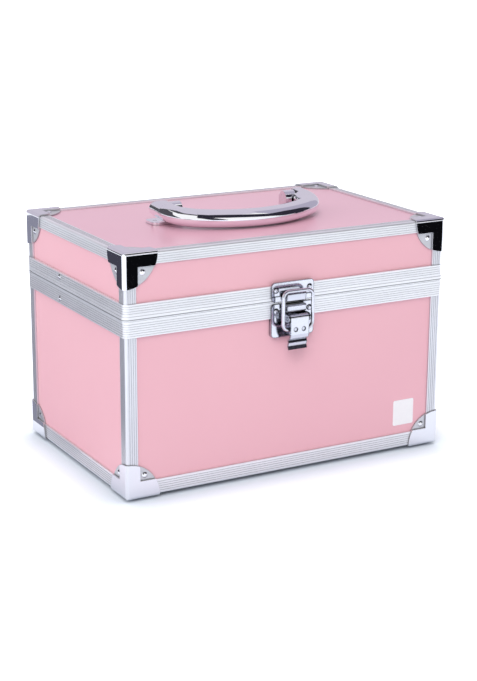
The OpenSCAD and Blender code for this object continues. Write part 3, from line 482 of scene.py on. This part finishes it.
def floor_material():
    """White floor that keeps the shadow near the case, adds a painted contact shadow to its colour
    and glow, and is lifted to plain white further off.
    """
    s = Shader("floor_white", FLOOR_OPEN, 0.9)
    s.bsdf.inputs["Specular IOR Level"].default_value = 0.0
    path = s.add("ShaderNodeLightPath").outputs
    mirrored = s.math("MULTIPLY", path["Is Glossy Ray"], MIRRORED_LIFT)
    seen = s.math("MAXIMUM", path["Is Camera Ray"], mirrored)
    distance = s.add("ShaderNodeVectorMath", operation="LENGTH")
    s.link(s.place, distance.inputs[0])
    lift = s.math("MULTIPLY", seen, s.span(distance.outputs["Value"], *FLOOR_LIFT))
    around = s.add("ShaderNodeAmbientOcclusion")
    around.inputs["Distance"].default_value = PAINTED_SHADOW_REACH
    openness = around.outputs["AO"]
    s.color(s.blend_color(s.span(openness, *PAINTED_SHADOW_SPAN, 0, 1), FLOOR_PAINTED_SHADOW, FLOOR_OPEN))
    s.bsdf.inputs["Emission Color"].default_value = (1, 1, 1, 1)
    # The glow is dimmed by the same openness: painted shadow.
    s.link(s.math("MULTIPLY", lift, openness), s.bsdf.inputs["Emission Strength"])
    return s.material


def card_material(name, color):
    """Glows evenly, so that a card reflects as one flat tone."""
    material = bpy.data.materials.new(name)
    material.use_nodes = True
    tree = material.node_tree
    tree.nodes.remove(tree.nodes["Principled BSDF"])
    glow = tree.nodes.new("ShaderNodeEmission")
    glow.inputs["Color"].default_value = color
    tree.links.new(glow.outputs[0], tree.nodes["Material Output"].inputs["Surface"])
    return material


def area_light(name, location, target_height, side, power):
    """A square soft light, aimed at the case and not seen in reflections."""
    data = bpy.data.lights.new(name, "AREA")
    data.shape = "RECTANGLE"
    data.size = data.size_y = side
    data.energy = power
    light = bpy.data.objects.new(name, data)
    light.location = location
    light.rotation_mode = "QUATERNION"
    aim = Vector((0, 0, target_height)) - Vector(location)
    light.rotation_quaternion = aim.to_track_quat("-Z", "Y")
    light.visible_glossy = False
    bpy.context.collection.objects.link(light)


def studio_world():
    """White wherever the camera or a reflection looks, soft grey light elsewhere."""
    world = bpy.data.worlds.new("studio")
    bpy.context.scene.world = world
    world.use_nodes = True
    tree = world.node_tree
    back = tree.nodes["Background"]
    back.inputs["Color"].default_value = (1, 1, 1, 1)
    path = tree.nodes.new("ShaderNodeLightPath")
    seen = path.outputs["Is Camera Ray"]
    for other in ("Is Glossy Ray", "Is Transmission Ray"):
        either = tree.nodes.new("ShaderNodeMath")
        either.operation = "MAXIMUM"
        tree.links.new(seen, either.inputs[0])
        tree.links.new(path.outputs[other], either.inputs[1])
        seen = either.outputs[0]
    level = tree.nodes.new("ShaderNodeMapRange")
    level.inputs["To Min"].default_value = WORLD_LIGHT
    level.inputs["To Max"].default_value = 1.0
    tree.links.new(seen, level.inputs["Value"])
    tree.links.new(level.outputs[0], back.inputs["Strength"])


BLACK_CARD = card_material("card_black", (0.004, 0.004, 0.005, 1))
VIOLET_CARD = card_material("card_violet", srgb(46, 44, 55))
GREY_CARD = card_material("card_grey", srgb(80, 79, 85))
LILAC_CARD = card_material("card_lilac", srgb(176, 171, 190))
PALE_CARD = card_material("card_pale", srgb(208, 202, 216))
DARK_CARD = card_material("card_dark", srgb(70, 70, 82))
SHADE_CARD = card_material("card_shade", srgb(146, 147, 163))

# Cards just above the floor: name, centre, size, material
FLOOR_CARDS = (
    ("card_front_low_left", (0.185, -0.7, 0.002), (0.2, 0.3), BLACK_CARD),
    ("card_front_low_right", (0.545, -0.7, 0.002), (0.21, 0.3), BLACK_CARD),
    # The card beside the case's left side stands in for its shadow on the floor in what the left
    # side mirrors: a painted reflection of shade.
    ("card_left_painted_shadow", (-0.29, 0.42, 0.002), (0.32, 0.8), SHADE_CARD),
    ("card_left_cap", (-0.395, 0.52, 0.004), (0.14, 0.2), DARK_CARD),
)
# Cards far off: name, material, azimuth and height of each corner in degrees
SKY_CARDS = (
    ("card_far_left", GREY_CARD, ((-152, -3), (-74, -3), (-96, 18), (-110, 42), (-150, 44))),
    ("card_high_left", GREY_CARD,
     ((-150, 44), (-92, 46), (-36, 48), (-36, 66), (-90, 68), (-150, 64))),
    ("card_camera_side", VIOLET_CARD,
     ((-21, -3), (-5, -3), (-19, 26), (-13, 62), (-35, 74), (-37, 26))),
    ("card_high_front", VIOLET_CARD,
     ((-19, 26), (5, 27), (24, 18), (44, 40), (20, 68), (-13, 74))),
    ("card_right", VIOLET_CARD,
     ((24, 18), (38, 8), (48, -3), (84, -3), (80, 28), (66, 40), (44, 40))),
    ("card_far_right", LILAC_CARD,
     ((84, -3), (118, -3), (118, 62), (60, 62), (44, 40), (66, 40), (80, 28))),
    ("card_back", PALE_CARD, ((118, -3), (165, -3), (165, 60), (118, 62))),
    ("card_back_left", PALE_CARD, ((165, -3), (208, -3), (210, 64), (165, 60))),
    ("card_above", PALE_CARD, tuple((azimuth, 61) for azimuth in range(-165, 180, 30))),
)
# Name, place, height that it is aimed at, side, power
LIGHTS = (
    ("key", (-1.0, -1.6, 1.8), 0.08, 1.4, 28),
    ("fill_left", (-1.9, 0.3, 0.9), 0.08, 1.2, 9),
    ("fill_back", (0.9, 1.9, 1.1), 0.08, 1.2, 6),
    ("top", (0.2, 0.2, 2.0), 0.1, 1.6, 12),
)

studio_world()
put_on_stage("floor", rectangle("floor", FLOOR_SIZE, FLOOR_SIZE), floor_material(), (0, 0, 0),
             reflections_only=False)
for name, center, size, material in FLOOR_CARDS:
    put_on_stage(name, rectangle(name, *size), material, center)
for name, material, corners in SKY_CARDS:
    put_on_stage(name, one_face(name, [sky_point(*corner) for corner in corners]), material,
                 SKY_CENTER)
for settings in LIGHTS:
    area_light(*settings)


# ---------- camera ----------

# The photograph's focal length and long side, in its pixels
FOCAL_PX = 1593.0
PHOTO_LONG_SIDE = 681
SENSOR_MM = 36.0
# Place and turns of the camera, fitted to the photograph
CAMERA_AT = Vector((-0.5223, -0.93915, 0.3764))
YAW, PITCH, ROLL = math.radians(-29.22), math.radians(-15.76), math.radians(0.3)

camera_data = bpy.data.cameras.new("photo_camera")
camera_data.sensor_width = SENSOR_MM
camera_data.lens = FOCAL_PX / PHOTO_LONG_SIDE * SENSOR_MM
camera = bpy.data.objects.new("photo_camera", camera_data)
camera.matrix_world = (
    Matrix.Translation(CAMERA_AT)
    @ Matrix.Rotation(YAW, 4, "Z")
    @ Matrix.Rotation(math.pi / 2 + PITCH, 4, "X")
    @ Matrix.Rotation(ROLL, 4, "Z")
)
bpy.context.collection.objects.link(camera)
bpy.context.scene.camera = camera
bpy.context.scene.view_settings.view_transform = "Standard"
